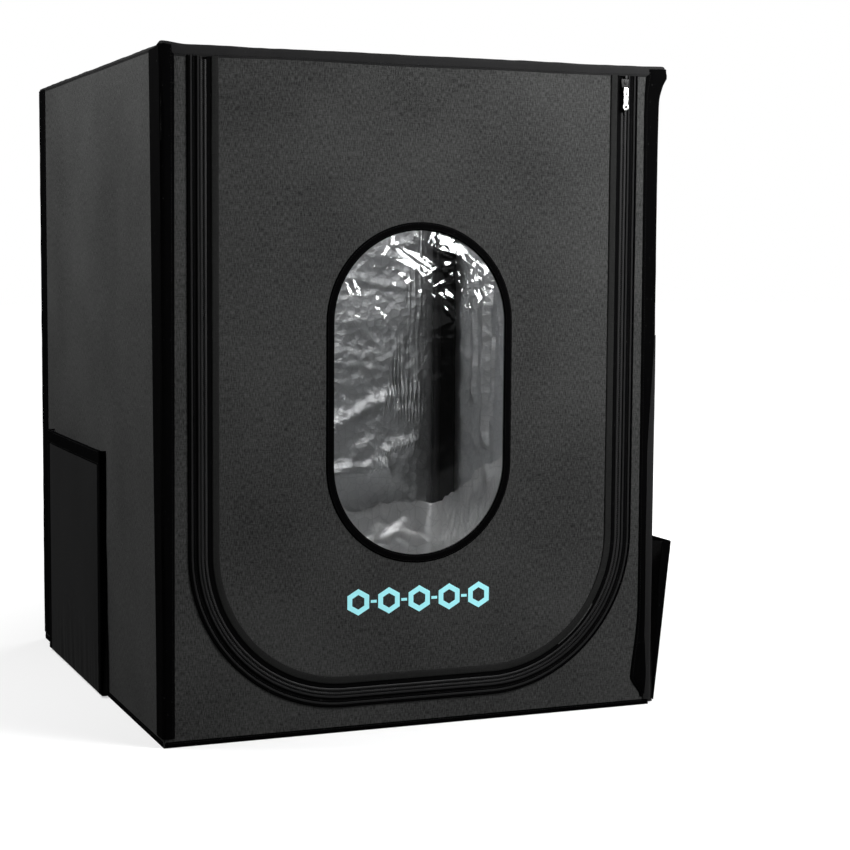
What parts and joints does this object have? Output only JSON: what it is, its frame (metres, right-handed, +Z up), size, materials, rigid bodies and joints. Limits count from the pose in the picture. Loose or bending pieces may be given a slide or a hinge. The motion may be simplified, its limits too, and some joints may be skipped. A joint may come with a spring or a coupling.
{
  "type": "printer enclosure tent",
  "caption": "Fabric enclosure tent on a tube frame, with a zip-round front door, clear window, foil lining, side pockets and a rear cable port.",
  "frame": {"origin": "centre of the base, on the floor, midway between the side panels and between the front and back panels", "axes": "+X right seen from the front, +Y towards the back, +Z up; the door faces -Y"},
  "size_m": [0.7597, 0.7812, 0.9012],
  "materials": {
    "outer_fabric": "charcoal woven polyester, matt with a faint sheen",
    "foil_lining": "thin aluminised foil film, crinkled",
    "edge_binding": "black woven binding tape with a satin face",
    "frame_tube": "black powder-coated steel tube",
    "connector_plastic": "black moulded plastic",
    "zip_tape": "black knitted zip tape",
    "zip_coil": "black nylon coil",
    "clear_film": "clear flexible film, creased",
    "slider_metal": "black enamelled metal",
    "bright_metal": "polished nickel plate",
    "strap_webbing": "black hook-and-loop webbing",
    "pocket_fabric": "black woven polyester, matt"
  },
  "bodies": {
    "cover": {"front_panel": "outer_fabric", "left_panel": "outer_fabric", "right_panel": "outer_fabric", "back_panel": "outer_fabric", "top_panel": "outer_fabric", "floor_panel": "outer_fabric", "front_lining": "foil_lining", "left_lining": "foil_lining", "right_lining": "foil_lining", "back_lining": "foil_lining", "top_lining": "foil_lining", "floor_lining": "foil_lining", "corner_binding_front_left": "edge_binding", "corner_binding_front_right": "edge_binding", "corner_binding_back_left": "edge_binding", "corner_binding_back_right": "edge_binding", "top_binding": "edge_binding", "bottom_binding": "edge_binding", "upright_front_left": "frame_tube", "upright_front_right": "frame_tube", "upright_back_left": "frame_tube", "upright_back_right": "frame_tube", "top_rail_front": "frame_tube", "top_rail_back": "frame_tube", "top_rail_left": "frame_tube", "top_rail_right": "frame_tube", "bottom_rail_front": "frame_tube", "bottom_rail_back": "frame_tube", "bottom_rail_left": "frame_tube", "bottom_rail_right": "frame_tube", "top_connectors": "connector_plastic", "bottom_connectors": "connector_plastic", "cover_zip_tape": "zip_tape", "cover_zip_coil": "zip_coil", "zip_stops": "zip_coil", "roll_strap_patches": "strap_webbing", "left_pocket_floor": "pocket_fabric", "left_pocket_gussets": "pocket_fabric", "right_pocket_floor": "pocket_fabric", "right_pocket_gussets": "pocket_fabric", "rear_port_binding": "edge_binding"},
    "door": {"door_panel": "outer_fabric", "door_lining": "foil_lining", "window_film": "clear_film", "window_binding": "edge_binding", "door_zip_tape": "zip_tape", "door_zip_coil": "zip_coil"},
    "slider": {"zip_slider": "slider_metal"},
    "tab": {"pull_tab": "bright_metal"},
    "left_strap": {"left_roll_strap": "strap_webbing"},
    "right_strap": {"right_roll_strap": "strap_webbing"},
    "left_pocket": {"left_pocket_panel": "pocket_fabric", "left_pocket_binding": "edge_binding"},
    "right_pocket": {"right_pocket_panel": "pocket_fabric", "right_pocket_binding": "edge_binding"},
    "port_flap": {"rear_port_flap": "outer_fabric"}
  },
  "joints": [
    {"name": "door_swing", "type": "hinge", "parent": "cover", "child": "door", "pos_m": [0, -0.387, 0.9015], "axis": [-1, 0, 0], "range_deg": [0, 267]},
    {"name": "slider_travel", "type": "slide", "parent": "cover", "child": "slider", "axis": [0, 0, -1], "range_m": [0, 0.6]},
    {"name": "tab_swing", "type": "hinge", "parent": "slider", "child": "tab", "pos_m": [0.3005, -0.3914, 0.868], "axis": [-1, 0, 0], "range_deg": [0, 150]},
    {"name": "left_strap_swing", "type": "hinge", "parent": "door", "child": "left_strap", "pos_m": [-0.17, -0.38215, 0.8495], "axis": [1, 0, 0], "range_deg": [0, 80]},
    {"name": "right_strap_swing", "type": "hinge", "parent": "door", "child": "right_strap", "pos_m": [0.17, -0.38215, 0.8495], "axis": [1, 0, 0], "range_deg": [0, 80]},
    {"name": "left_pocket_open", "type": "hinge", "parent": "cover", "child": "left_pocket", "pos_m": [-0.365, 0.1075, 0.005], "axis": [0, -1, 0], "range_deg": [0, 14], "deforming": ["left_pocket_gussets"]},
    {"name": "right_pocket_open", "type": "hinge", "parent": "cover", "child": "right_pocket", "pos_m": [0.365, -0.1965, 0.005], "axis": [0, 1, 0], "range_deg": [-5, 12], "deforming": ["right_pocket_gussets"]},
    {"name": "port_flap_lift", "type": "hinge", "parent": "cover", "child": "port_flap", "pos_m": [0.18, 0.3873, 0.16], "axis": [1, 0, 0], "range_deg": [0, 120]}
  ]
}
